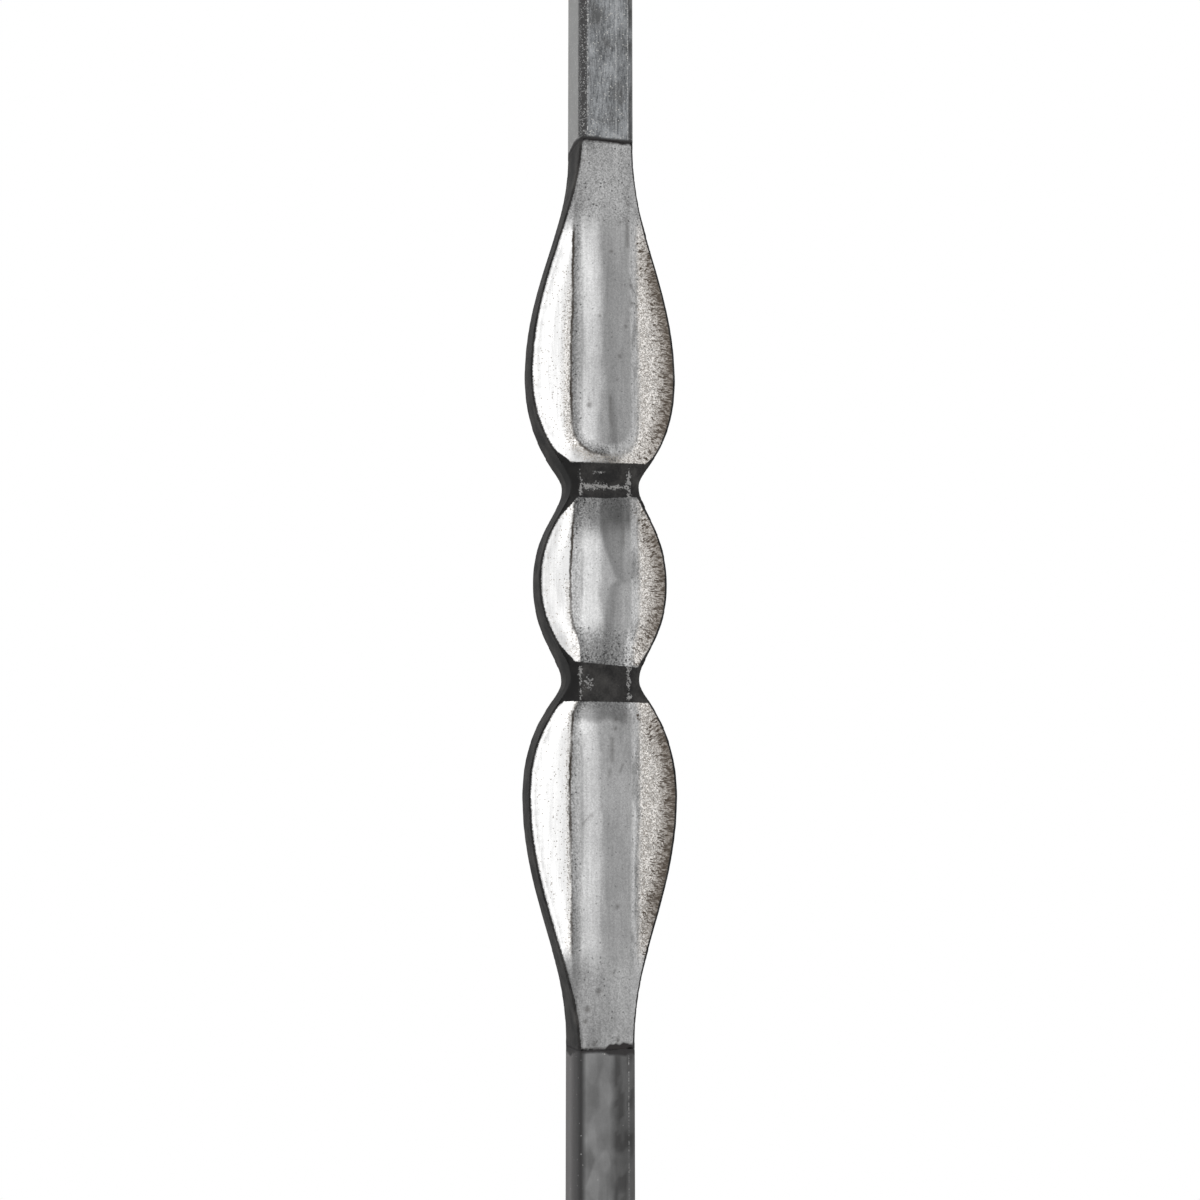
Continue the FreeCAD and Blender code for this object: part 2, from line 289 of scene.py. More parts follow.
# Blemishes on both broad faces: x, height, radius and depth
BLEMISHES = (
    (-4.6, 44.2, 0.60, 0.14),
    (-8.0, 36.6, 0.30, 0.10),
    (9.6, 17.1, 0.45, 0.20),
    (2.4, -79.4, 0.50, 0.12),
    (-2.1, -99.4, 0.55, 0.12),
    (-4.9, -103.6, 0.60, 0.14),
    (-5.4, -106.4, 0.45, 0.12),
    (1.5, -95.0, 0.35, 0.10),
    (2.6, -111.0, 0.60, 0.14),
    (-3.2, -111.6, 0.45, 0.10),
    (6.6, 76.0, 0.50, 0.10),
    (7.0, 71.5, 0.45, 0.10),
    (5.0, 65.0, 0.40, 0.10),
    (-2.0, 67.0, 0.35, 0.08),
    (3.2, 57.0, 0.45, 0.10),
    (2.6, 51.0, 0.30, 0.08),
    (1.0, 84.0, 0.40, 0.08),
    (3.5, 92.0, 0.45, 0.08),
    (5.8, 97.0, 0.50, 0.08),
    (-6.0, 107.5, 0.40, 0.08),
    (2.2, -34.2, 0.35, 0.12),
    (2.0, -36.4, 0.40, 0.12),
    (1.2, -41.5, 0.30, 0.08),
    (-3.8, -57.5, 0.30, 0.08),
    (4.6, -33.0, 0.35, 0.10),
    (-8.2, -16.4, 0.35, 0.08),
    (8.4, 71.0, 0.30, 0.08),
)

# Fine dark scratches on both broad faces: x and height of each end, width
SCRATCHES = (
    (1.1, -39.0, 1.1, -44.0, 0.55),
    (0.5, -46.4, 0.3, -48.2, 0.30),
    (3.9, -45.2, 3.2, -46.9, 0.35),
    (-4.0, -57.1, -6.1, -59.7, 0.25),
    (4.15, 13.8, 4.2, 9.3, 0.30),
    (5.3, 93.5, 5.6, 86.0, 0.50),
    (0.7, 46.5, 1.0, 39.0, 0.30),
)

# Shallow hammered hollows on the crests: x, height, half-width, half-height
# and depth
HOLLOWS = (
    (3.4, 12.0, 2.2, 7.0, 0.14),
    (1.6, -4.0, 2.6, 3.2, 0.10),
    (3.6, -12.0, 2.4, 5.0, 0.12),
    (-1.8, 16.0, 3.0, 3.0, 0.10),
    (2.6, 52.0, 1.8, 9.0, 0.12),
    (0.6, 40.0, 1.6, 6.0, 0.10),
    (4.4, -36.0, 2.4, 3.0, 0.14),
    (3.2, -60.0, 1.8, 8.0, 0.08),
)


def spot(hand, height, at_x, at_height, wide, tall):
    """A rounded spot on the broad faces, 1 at its middle."""
    return np.exp(-(((hand - at_x) / wide) ** 2 + ((height - at_height) / tall) ** 2))


def scratched(hand, height):
    """How near each point is to one of the scratches, 1 on its line."""
    near = np.zeros(len(hand))
    for x0, low, x1, high, width in SCRATCHES:
        length = math.hypot(x1 - x0, high - low)
        along = ((hand - x0) * (x1 - x0) + (height - low) * (high - low)) / length ** 2
        along = np.clip(along, 0.0, 1.0)
        off = np.hypot(hand - x0 - along * (x1 - x0), height - low - along * (high - low))
        near = np.maximum(near, np.exp(-(off / width) ** 2))
    return near


def keep_section(points, weld_height):
    """Carry the section just short of a weld up to it, without rounding."""
    gap = np.abs(points[:, 2] - weld_height)
    turn = np.arctan2(points[:, 1], points[:, 0])
    reach = np.hypot(points[:, 0], points[:, 1])
    model = (gap > SECTION_RUN) & (gap < SECTION_RUN + 2.0)
    order = np.argsort(turn[model])
    steps = np.linspace(-math.pi, math.pi, SECTION_STEPS)
    reaches = np.interp(steps, turn[model][order], reach[model][order], period=2 * math.pi)
    full = np.interp(turn, steps, reaches)
    points[:, 2] = np.where(gap < END_ROUNDING, weld_height, points[:, 2])
    growth = np.clip(full / np.maximum(reach, 0.1), 1.0, 1.12)
    near = fall(gap, SECTION_RUN - 0.4, SECTION_RUN) * ease(reach / full, 0.80, 0.86)
    scale = 1 + (growth - 1) * near
    points[:, 0] *= scale
    points[:, 1] *= scale


def from_weld(points, weld_height):
    """Distance from a weld whose line wanders, and which swells to one side."""
    wander = 0.28 * rough_field(points, 2.6, 1.0, rates=(1.0, 1.0, 0.0))
    ragged = rough_field(points, 1.6, 4.0, rates=(1.0, 1.0, 0.6))
    hand = points[:, 0] * -np.sign(points[:, 1])
    if weld_height > 0:
        swell = 0.10 + 0.12 * ragged
    else:
        swell = (0.75 + 0.45 * ragged) * ease(hand, -0.8, 1.0) + 0.10 * ragged
    return np.abs(points[:, 2] - weld_height + wander) - swell


def out_of_necks(height, hand):
    """Distance outside the scaled necks, whose edges lie a little askew."""
    rightward = np.maximum(hand, 0.0)
    upper = np.maximum(INNER_LEDGE + 0.10 * rightward - height,
                       height - OUTER_LEDGE - 0.06 * rightward)
    lower = np.maximum(INNER_LEDGE + 0.07 * hand + height, -height - OUTER_LEDGE - 0.4)
    return np.where(height > 0, upper, lower)


def survey_centre(points, normals):
    """Find where each point of the centre piece lies on its forms."""
    at = SimpleNamespace()
    at.rim, at.run = rim_and_run(points, *outline_of(points))
    at.x, y, at.height = points.T.copy()
    at.away = np.abs(at.height)
    at.side = np.sign(y)
    at.hand = at.x * -at.side
    at.on_lobe = at.away < NECK_MIDDLE
    at.on_upper = at.height > NECK_MIDDLE
    at.on_lower = at.height < -NECK_MIDDLE
    at.square_on = np.abs(normals[:, 1])
    at.facing = ease(at.square_on, 0.35, 0.75)
    at.cut = corner_cut_at(at.height, at.hand)
    at.rib = from_rib_foot(at.x, at.height)
    at.in_neck = ease(at.away, INNER_LEDGE - 0.2, INNER_LEDGE + 0.6)
    at.in_neck *= fall(at.away, OUTER_LEDGE - 0.6, OUTER_LEDGE + 0.2)
    at.left = fall(at.hand, -1.0, 1.0)
    at.right = 1 - at.left
    at.ribbed = fall(at.away, WING_TIP - 5.0, WING_TIP + 3.0 * at.right) * (1 - at.in_neck)
    at.lumps = rough_field(points, 9.0, 3.0, 2, (1.3, 1.0, 0.8))
    at.ripple = rough_field(points, 3.2, 9.0, rates=(1.0, 1.0, 0.35))
    at.wobble = 1.2 * at.lumps + 0.5 * at.ripple
    at.near_ledge = np.where(at.on_lobe, ease(at.away, INNER_LEDGE - 6.0, INNER_LEDGE),
                             fall(at.away, OUTER_LEDGE, OUTER_LEDGE + 4.5))
    at.by_ledge = np.where(at.on_lobe, ease(at.away, 11.0, 18.0), fall(at.away, 31.0, 40.0))
    at.flank = ease(at.rib, -RIB_FLANK - 0.5, -RIB_FLANK + 0.3) * at.ribbed
    at.tail = ease(at.away, 88.0, 96.0)
    # The dark pitted strip on the left flank
    at.strip = ease(at.rib, -2.4, -0.5) * at.left * at.ribbed
    at.strip *= 1 - 0.55 * at.on_lobe - 0.35 * at.on_lower
    # Both ends of the round lobe's crest
    at.lobe_end = ease(at.away, 10.5 - 1.5 * at.left, 16.5 + at.wobble - at.left) * at.on_lobe
    at.lobe_end *= np.where(at.height > 0, 1.0 + 0.2 * ease(at.hand, -2.0, 0.5), 0.60)
    # The crevice along the rib's foot, deepest on the left
    at.crevice = at.ribbed * (0.25 + 0.75 * at.left) * (1 - 0.6 * at.near_ledge)
    at.crevice *= 1 - fall(at.height, -15.0, -11.0) * at.on_lobe
    at.crevice *= np.clip(0.85 + 0.45 * at.ripple, 0.0, 1.0)
    at.crease = NECK_CREASE + 0.45 * rough_field(points, 2.4, 5.0, rates=(1.0, 0.0, 0.0))
    at.weld = np.minimum(from_weld(points, HALF_LENGTH), from_weld(points, -HALF_LENGTH))
    return at


def relief_of(at):
    """How deep each point of the broad faces is worked, and the dents."""
    outside = 1 - at.in_neck
    depth = 0.16 * hump(at.rib + 0.12 * at.ripple, 0.0, 0.42) * at.crevice
    # Corners that slope away beside the ledges
    depth += 0.8 * ease(at.cut - at.rim, -0.2, 2.6) * outside
    # The rim's own roll
    depth += 0.30 * fall(at.rim, 0.0, 1.0) * outside
    # The crest is ground by hand and never quite even
    depth += (0.11 + 0.11 * at.lumps) * fall(at.rib, -3.0, -0.4)
    # The outer part of each wing falls away
    depth += 0.28 * fall(at.rim, 0.0, 5.5) * ease(at.rib, 0.0, 2.0) * at.ribbed
    # Crests drop at their ends
    depth += 0.32 * at.near_ledge ** 2 * fall(at.rib, -2.0, 0.5) * outside
    for at_x, at_height, half_wide, half_tall, deepest in HOLLOWS:
        depth += deepest * spot(at.hand, at.height, at_x, at_height, half_wide, half_tall)
    dents = np.zeros(len(depth))
    for at_x, at_height, radius, deepest in BLEMISHES:
        dent = np.exp(-(np.hypot(at.hand - at_x, at.height - at_height) / radius) ** 2)
        depth += deepest * dent
        dents = np.maximum(dents, dent)
    # Scale in the necks is lumpy, and a burr runs across the upper crease
    depth += 0.07 * (at.ripple + 1.0) * at.in_neck
    depth -= 0.14 * (hump(at.height, at.crease, 0.30) * at.in_neck)
    return depth, dents


def crest_tones_and_shade(points, at):
    """How bright the crest, flanks and tails are against the wings, with painted highlight and
    shade.
    """
    crest = 0.47 + 0.05 * at.lumps + (0.07 + 0.05 * at.right) * at.flank
    # Painted highlight in bands left of the middle, where the rounded crest turns to the key light,
    # and painted shade along the middle
    to_left = fall(at.hand, -6.4, -3.0)
    lit_bands = to_left * (1 - 0.9 * hump(at.height, 62.0, 16.0))
    lit_bands *= np.where(at.height > 0, 1 - at.near_ledge, fall(at.height, -41.0, -33.0))
    lobe_lit_band = to_left * fall(np.abs(at.height + 2.0), 8.0, 14.0)
    lit_bands = np.where(at.on_lobe, 0.66 * lobe_lit_band, lit_bands)
    lit_bands *= fall(at.away, 66.0, 96.0)
    lower_crest = fall(at.height, -40.0, -36.0)
    contrast = fall(at.away, 80.0, 97.0) * (1 - at.in_neck) * (1 - 0.5 * lower_crest)
    dip = 0.18 - 0.12 * at.on_lobe - 0.14 * hump(at.height, -53.0, 9.0)
    crest *= 1 + contrast * (0.26 * lit_bands - dip * hump(at.hand, -0.8, 2.6))
    dull = hump(at.height, 50.0, 12.0) + 0.5 * lower_crest
    crest *= 1 - 0.20 * dull * fall(at.hand, -3.0, -0.5)
    # Painted highlight on the crest's left up to a wandering line that comes to a point on the
    # lobe, and painted shade past it
    rising = np.maximum(at.height - 0.5, 0.0)
    lobe_lit_side_end = np.where(at.height > 0.5, 2.3 - 0.54 * rising + 0.0175 * rising ** 2,
                          0.4 + 0.13 * at.height + 1.9 * hump(at.height, 0.5, 1.3))
    lit_side_end = np.where(at.on_lobe, lobe_lit_side_end, 3.0 - 0.07 * at.away + 0.4 * at.wobble)
    soft = 0.5 + 2.0 * ease(at.height, 46.0, 62.0)
    lit_side = ease((lit_side_end - at.hand) / soft, -1.0, 1.0)
    off_flank = 1 - at.flank
    crest *= 1 + contrast * (0.08 * lit_side - 0.10 * (1 - lit_side) * off_flank)
    # Painted shade beside that line: all along it on the lobe, and where
    # the upper teardrop's rib ends
    beside = hump(at.hand - lit_side_end, 1.5, 1.3)
    above = ease(at.height, 0.0, 1.5) * at.on_lobe
    beside += (1.05 * (1 - lit_side) * fall(at.hand, 3.6, 4.8) - beside) * above
    beside *= at.on_lobe + fall(at.height, 42.0, 50.0) * at.on_upper
    crest *= 1 - 0.26 * beside * off_flank
    # Painted highlight low on the lobe's right and on the lower teardrop's right, painted shade at
    # the lobe's left corners
    crest *= 1 + 0.20 * at.on_lobe * ease(at.hand, 2.8, 4.2) * fall(at.height, -3.0, 1.0)
    crest *= 1 - 0.25 * at.on_lobe * ease(at.away, 11.5, 17.0) * fall(at.hand, -3.5, -1.0)
    crest *= 1 + 0.09 * hump(at.height, -53.0, 9.0) * at.right
    # Dark pitted strip on the left flank; on the lower right flank a painted highlight line, with
    # painted shade just below it at the foot
    crest *= 1 - 0.50 * at.strip
    low_right = at.right * fall(at.height, -42.0, -36.0) * ease(at.height, -86.0, -78.0)
    crest += 0.17 * hump(at.rib, -1.25, 0.40) * low_right
    crest *= 1 - 0.20 * hump(at.rib, -0.40, 0.40) * low_right
    # Dark blots, the tails darker towards the left, and painted shade on the sloping ends of the
    # lobe's and the lower teardrop's crests
    blots = ease(rough_field(points, 2.2, 14.0, rates=(1.0, 1.0, 0.3)), 0.0, 0.6)
    crest *= 1 - 0.30 * blots * (0.25 + at.flank * at.right)
    crest *= 1 + at.tail * (0.05 - 0.44 * fall(at.hand, -6.5, 3.5))
    crest *= 1 - 0.42 * at.lobe_end * (1 - 0.8 * at.flank * at.right)
    lower_top = ease(at.height, -35.6 + at.wobble, -34.0 + at.wobble)
    lower_top *= fall(at.height, -30.0, -29.0)
    return crest * (1 - 0.45 * lower_top * fall(at.hand, 3.5, 6.5))


def wing_tones(points, at):
    """How bright each part of the wings is, 1 where it is plain, with painted shade and highlight
    on the left wings.
    """
    below_rib = fall(at.height, 32.5, 34.5) * at.on_upper
    under_rib = 0.40 * fall(np.abs(at.hand + 2.5), 5.0, 8.5) + 0.25 * hump(at.hand, 1.0, 1.8)
    lobe_left = 0.30 * at.lobe_end * at.left * fall(at.height, -14.0, -8.0)
    lobe_left += 0.09 * at.left * at.on_lobe
    beside_rib = 0.14 * at.left * at.on_lower * hump(at.rib, 3.5, 2.2)
    wing = (1 - below_rib * (0.10 + under_rib)) * (1 - lobe_left) * (1 + beside_rib)
    # Left wings: painted shade, streaked, towards the rolled rim, and a painted highlight further
    # in
    streaks = rough_field(points, 1.6, 51.0, rates=(0.3, 1.0, 1.5))
    by_rim = at.left * fall(at.rim, 0.8, 4.2) * (0.85 + 0.5 * streaks)
    further_in = at.left * ease(at.rim, 4.0, 6.0) * ease(at.rib, 2.1, 3.3) * (1 - at.on_lobe)
    wing *= (1 - 0.27 * by_rim) * (1 + (0.10 + 0.11 * at.on_upper) * further_in)
    across = 0.19 * fall(at.rib, 1.4, 3.2) - 0.13 * ease(at.rib, 2.0, 3.6)
    wing *= 1 + at.left * at.on_lobe * across
    return wing * (1 + 0.22 * at.by_ledge * at.right)


def coarseness(at):
    """How coarse the crest's and the wings' marks are.

    The crest is smooth, its flanks, tails and ends are pitted, and the right
    wings are coarser than the left ones.
    """
    crest = 0.22 + 0.24 * at.flank + 0.30 * at.strip
    crest += (0.14 + 0.22 * (at.height > 0)) * at.tail
    crest += 0.36 * at.near_ledge * (1 - at.in_neck)
    lobe_corner = ease(at.height, 10.0, 15.0) * fall(at.hand, -3.5, -1.5)
    lobe_corner = np.maximum(lobe_corner, fall(at.height, -14.0, -10.0)) * at.on_lobe
    inner = fall(at.rib, 0.6, 3.2) * fall(np.abs(at.height - 45.0), 15.0, 40.0)
    low_inner = np.maximum(0.6 * fall(at.rib, 0.4, 1.8), fall(at.rib, 0.0, 4.0) * at.lobe_end)
    inner = np.maximum(inner, low_inner * (at.height < 0))
    wing = np.clip(0.06 + 0.50 * at.left * inner + 0.62 * at.right, 0, 1)
    return crest + 0.35 * lobe_corner, wing


def missed_oxide(at):
    """Oxide that the grinder missed, thickening towards the right wing's rim."""
    wing_end = fall(at.away, WING_TIP - 16.0, WING_TIP + 1.0)
    missed = fall(at.rim, 0.6, 2.6 + 3.6 * wing_end) * wing_end
    missed *= ease(at.hand, 4.0, 9.0) * at.ribbed
    return missed * (1 - 0.15 * at.on_lobe) * (1 - 0.70 * at.by_ledge)


def knocked_scale(points, at):
    """Where the necks' scale is knocked off: the crease and both corners."""
    corner = np.maximum(hump(-at.hand, NECK_CORNER, 0.45),
                        1.1 * hump(at.hand, NECK_CORNER - 0.9, 0.65))
    clusters = 0.75 + rough_field(points, 1.9, 21.0, 2)
    worn = hump(at.height, at.crease, 0.50 + 0.45 * at.left)
    worn *= fall(np.abs(at.hand), 5.4, 7.0) * (at.height > 0)
    spots = np.maximum(spot(at.hand, at.height, -4.6, -25.4, 1.6, 1.8),
                       spot(at.hand, at.height, -1.9, 27.2, 1.5, 0.6))
    knocked = np.maximum(corner * np.clip(clusters, 0.1, 1.4), 1.05 * worn)
    knocked = np.maximum(knocked, 0.70 * spots) * (1.0 + 0.4 * rough_field(points, 1.2, 33.0, 2))
    return knocked * at.in_neck * ease(at.square_on, 0.3, 0.7)


def shape_centre(piece):
    """Work the forging's fine forms into its skin and store its fields."""
    points = read_points(piece)
    normals = read_normals(piece)
    at = survey_centre(points, normals)
    depth, dents = relief_of(at)
    for weld_height in (-HALF_LENGTH, HALF_LENGTH):
        keep_section(points, weld_height)
    short_of_end = 1 - ease(at.away, HALF_LENGTH - 1.3, HALF_LENGTH - 0.4)
    points[:, 1] -= at.side * depth * at.facing * short_of_end
    skin_depth = 0.10 * fall(at.weld, 0.0, 0.5) * at.facing + 0.015 * (at.ripple + 1)
    points -= normals * skin_depth[:, None] * LEVEL
    write_points(piece, points)

    ground = np.minimum(at.rim - at.cut, out_of_necks(at.height, at.hand))
    frayed = rough_field(points, 1.5, 41.0, rates=(1.0, 1.0, 0.8))
    crest_coarse, wing_coarse = coarseness(at)
    # Painted shade: near-black scale in the hollows of the necks' left sides
    neck_side_shade = hump(at.away, NECK_MIDDLE, 6.5) * fall(at.hand, -7.4, -5.8)
    for name, values in (
            ("ground", np.where(at.facing > 0.5, ground, NOT_GROUND)),
            ("rim", at.rim),
            ("run", at.run),
            ("rib", at.rib + 0.18 * frayed),
            ("foot", at.rib * (0.22 + 0.78 * at.left)),
            ("hand", at.hand),
            ("weld", at.weld),
            ("dents", np.maximum(dents, 0.6 * scratched(at.hand, at.height))),
            ("ribbed", at.ribbed),
            ("crevice", at.crevice),
            ("crest_tone_and_shade", crest_tones_and_shade(points, at)),
            ("wing_tone", wing_tones(points, at)),
            ("crest_coarse", crest_coarse),
            ("wing_coarse", wing_coarse),
            ("missed", missed_oxide(at)),
            ("knocked", knocked_scale(points, at)),
            ("neck_side_shade", neck_side_shade)):
        store(piece, name, values)


def shape_bar(piece, weld_height, band_on_side, side_slope, band_on_front, dark_on_right):
    """Give a bar its full section again, rolled unevenness and a weld groove.

    The two bands are the widths of the darker strip along its left corner,
    which fades over the side the more slowly the smaller side_slope is. The
    last is how far dark blotches reach in from its right corner, which is
    darker all over where they reach far.
    """
    points = read_points(piece)
    normals = read_normals(piece)
    past = np.abs(points[:, :2]) - (HALF_BAR - BAR_CORNER)
    furthest = past.max(axis=1)
    corner = np.maximum(past, 0.0)
    reach = np.hypot(*corner.T) + np.minimum(furthest, 0.0) - BAR_CORNER
    outward = np.where(furthest[:, None] > 0, corner, past == furthest[:, None])
    outward = outward / np.maximum(np.hypot(*outward.T), 1e-6)[:, None]
    on_skin = ease(reach, -1.0, -0.7)[:, None]
    points[:, :2] -= np.sign(points[:, :2]) * outward * reach[:, None] * on_skin
    gap = np.abs(points[:, 2] - weld_height)
    points[:, 2] = np.where(gap < END_ROUNDING, weld_height, points[:, 2])

    x, y = points.T[:2].copy()
    hand = x * -np.sign(y)
    on_side = ease(np.abs(normals[:, 0]), 0.55, 0.8)
    from_right = HALF_BAR - hand
    behind = band_on_side - (HALF_BAR + np.sign(x) * -y)
    from_left = np.where(on_side > 0.5, side_slope * behind, band_on_front - (HALF_BAR + hand))
    sawn = ease(np.abs(normals[:, 2]), 0.60, 0.85) * (gap > END_ROUNDING)
    from_corner = np.maximum(HALF_BAR - np.abs(x), HALF_BAR - np.abs(y))
    pitting = rough_field(points, 1.8, 7.0, rates=(1.0, 1.0, 0.35))
    waves = rough_field(points, 5.0, 2.0, 2, (1.0, 1.0, 0.1))
    weld = from_weld(points, weld_height)
    # On the narrow sides the oxide arches over the weld onto the bar
    along = HALF_BAR - np.sign(x) * y
    arch = 0.7 * np.maximum(1 - ((along - 7.0) / 4.5) ** 2, 0.0) * on_side
    depth = 0.07 * (pitting + 1) * ease(from_left, -0.5, 0.3) + 0.02 * (waves + 1)
    depth += 0.12 * fall(weld, 0.0, 0.6) * ease(from_corner, 0.6, 1.6)
    points -= normals * depth[:, None] * LEVEL
    write_points(piece, points)

    # The sawn end is kept clear of the strip, and the narrow sides of the
    # painted glint lines
    store(piece, "from_left", from_left - CLEAR_OF_STRIP * sawn)
    store(piece, "hand", np.where(on_side > 0.5, CLEAR_OF_LINES, hand))
    store(piece, "weld", weld - arch)
    store(piece, "on_side", on_side)
    store(piece, "sawn", sawn)
    blots = rough_field(points, 1.7, 30.0, 2, (1.0, 0.2, 0.30))
    steady = 0.7 * (dark_on_right > FAR_REACH)
    worn = np.maximum(ease(blots, -0.20, 0.20), steady)
    worn *= fall(from_right, 0.75 * dark_on_right, dark_on_right)
    store(piece, "right_blots", worn * (1 - on_side))


# Material helpers


def colour(code):
    """Turn an sRGB hex code into the linear colour that a socket takes."""
    parts = [int(code[place:place + 2], 16) / 255 for place in (1, 3, 5)]
    linear = [part / 12.92 if part <= 0.04045 else ((part + 0.055) / 1.055) ** 2.4
              for part in parts]
    return (*linear, 1.0)


def add(tree, kind, inputs=(), **settings):
    """Add a shader node, set its options, and fill its inputs with values or links."""
    made = tree.nodes.new("ShaderNode" + kind)
    for name, value in settings.items():
        setattr(made, name, value)
    for name, value in dict(inputs).items():
        socket = made.inputs[name]
        if isinstance(value, bpy.types.NodeSocket):
            tree.links.new(value, socket)
        else:
            socket.default_value = value
    return made


def new_material(name):
    """Start a material with a shader whose inputs are still to be linked."""
    material = bpy.data.materials.new(name)
    material.use_nodes = True
    tree = material.node_tree
    tree.nodes.clear()
    shader = add(tree, "BsdfPrincipled")
    add(tree, "OutputMaterial", {"Surface": shader.outputs["BSDF"]})
    return material, tree, shader


def millimetres(tree):
    """Object coordinates in millimetres."""
    place = add(tree, "TexCoord").outputs["Object"]
    return add(tree, "VectorMath", {0: place, "Scale": 1 / MM},
               operation="SCALE").outputs[0]


def fields_of(tree, *names):
    """The numbers stored on the mesh, by name."""
    return [add(tree, "Attribute", attribute_name=name).outputs["Fac"]
            for name in names]


def scattered_dots(tree, place, per_unit, share, radius):
    """Dots in a share of random cells; share may be a number or a field."""
    cells = add(tree, "TexVoronoi", {"Vector": place, "Scale": per_unit}).outputs
    chance = add(tree, "SeparateColor", {"Color": cells["Color"]}).outputs[0]
    chosen = add(tree, "Math", {0: chance, 1: share}, operation="LESS_THAN").outputs[0]
    dot = add(tree, "MapRange", {
        "Value": cells["Distance"], "From Min": radius, "From Max": radius * 0.5}).outputs["Result"]
    return add(tree, "Math", {0: dot, 1: chosen}, operation="MULTIPLY").outputs[0]


def forged_steel():
    """Stamped steel with ground faces, left in its forge scale elsewhere.

    The grinder leaves a bright, lengthwise brushed sheen with dark pits; the
    scale in the necks and on the sides is a matt, near-black oxide.
    """
    material, tree, shader = new_material("stamped_steel_ground_and_scaled")
    mm = millimetres(tree)
    ground, rim, run, rib, foot, hand, weld, ribbed, crevice = fields_of(
        tree, "ground", "rim", "run", "rib", "foot", "hand", "weld", "ribbed", "crevice")
    crest_tone_and_shade, wing_tone, crest_coarse, wing_coarse = fields_of(
        tree, "crest_tone_and_shade", "wing_tone", "crest_coarse", "wing_coarse")
    missed, knocked, dents, neck_side_shade = fields_of(tree, "missed", "knocked", "dents", "neck_side_shade")

    # Grit marks about 0.5 mm across, patches about 5 mm across, and the
    # grinder's lengthwise lines, 0.6 mm apart and 9 mm long. Real grit marks
    # are finer and are drawn as coarse as they need to be to show.
    grit = add(tree, "TexNoise", {
        "Vector": mm, "Scale": 2.0, "Detail": 5.0, "Roughness": 0.72}).outputs["Fac"]
    patches = add(tree, "TexNoise", {
        "Vector": mm, "Scale": 0.22, "Detail": 2.0}).outputs["Fac"]
    lengthwise = add(tree, "VectorMath", {0: mm, 1: (1.7, 1.7, 0.11)},
                     operation="MULTIPLY").outputs[0]
    brushing = add(tree, "TexNoise", {
        "Vector": lengthwise, "Scale": 1.0, "Detail": 3.0}).outputs["Fac"]
    off_rim = add(tree, "CombineXYZ", {
        "X": add(tree, "Math", {0: run, 1: 3.6}, operation="MULTIPLY").outputs[0],
        "Y": add(tree, "Math", {0: rim, 1: 0.75}, operation="MULTIPLY").outputs[0],
        "Z": add(tree, "Math", {0: hand, 1: 0.15}, operation="MULTIPLY").outputs[0],
    }).outputs[0]
    signed_grit = add(tree, "MapRange", {
        "Value": grit, "From Min": 0.32, "From Max": 0.68,
        "To Min": -1.0, "To Max": 1.0}).outputs["Result"]

    # Separate round pits 0.5 mm wide and specks of 0.3 mm, both in more of
    # their cells where the surface is coarse, and short cuts across the rim,
    # 0.3 mm wide and 1.3 mm long
    pit_share = add(tree, "Math", {0: crest_coarse, 1: 0.45},
                    operation="MULTIPLY").outputs[0]
    pit = scattered_dots(tree, mm, 1.05, pit_share, 0.30)
    coarse_here = add(tree, "Math", {0: wing_coarse, 1: 0.80},
                      operation="MULTIPLY").outputs[0]
    speckle = scattered_dots(tree, mm, 3.4, coarse_here, 0.70)
    cut_share = add(tree, "Math", {0: missed, 1: 0.85}, operation="MULTIPLY").outputs[0]
    cuts = scattered_dots(tree, off_rim, 1.0, cut_share, 0.85)

    # Crest and wing brightness, as shares of the wing's, with their marks
    foot = add(tree, "Math", {0: grit, 1: 0.9, 2: foot},
               operation="MULTIPLY_ADD").outputs[0]
    on_wing = add(tree, "MapRange", {
        "Value": foot, "From Min": 0.35, "From Max": 0.65}).outputs["Result"]
    wing_share = add(tree, "Math", {0: on_wing, 1: ribbed},
                     operation="MULTIPLY").outputs[0]
    coarse = add(tree, "Mix", {0: wing_share, 2: crest_coarse, 3: wing_coarse})
    base = add(tree, "Mix", {0: wing_share, 2: crest_tone_and_shade, 3: wing_tone})
    lined = add(tree, "MapRange", {
        "Value": brushing, "From Min": 0.3, "From Max": 0.7,
        "To Min": 0.92, "To Max": 1.07}).outputs["Result"]
    marks = add(tree, "Math", {0: signed_grit, 1: coarse.outputs[0]},
                operation="MULTIPLY").outputs[0]
    cells = add(tree, "TexVoronoi", {"Vector": mm, "Scale": 3.1}).outputs["Color"]
    salt = add(tree, "SeparateColor", {"Color": cells}).outputs[1]
    salt = add(tree, "MapRange", {
        "Value": salt, "To Min": -0.9, "To Max": 0.9}).outputs["Result"]
    salt = add(tree, "Math", {0: salt, 1: coarse.outputs[0]},
               operation="MULTIPLY").outputs[0]
    marks = add(tree, "Math", {0: marks, 1: 0.6, 2: salt},
                operation="MULTIPLY_ADD").outputs[0]
    marks = add(tree, "Math", {0: marks, 1: 0.62, 2: lined},
                operation="MULTIPLY_ADD").outputs[0]
    bright = add(tree, "Math", {0: base.outputs[0], 1: marks},
                 operation="MULTIPLY").outputs[0]
    pitting = add(tree, "Math", {0: pit, 1: coarse.outputs[0]},
                  operation="MULTIPLY").outputs[0]
    pitting = add(tree, "Math", {0: pitting, 1: 2.6}, operation="MULTIPLY",
                  use_clamp=True).outputs[0]
    bright = add(tree, "Math", {
        0: bright, 1: add(tree, "MapRange", {
            "Value": pitting, "To Min": 1.0, "To Max": 0.35}).outputs["Result"]},
        operation="MULTIPLY").outputs[0]

    steel = add(tree, "Mix", {
        0: add(tree, "Math", {0: wing_coarse, 1: wing_share},
               operation="MULTIPLY").outputs[0],
        6: colour("#dedede"), 7: colour("#c9c4be")}, data_type="RGBA").outputs[2]
    steel = add(tree, "VectorMath", {0: steel, "Scale": bright},
                operation="SCALE").outputs[0]

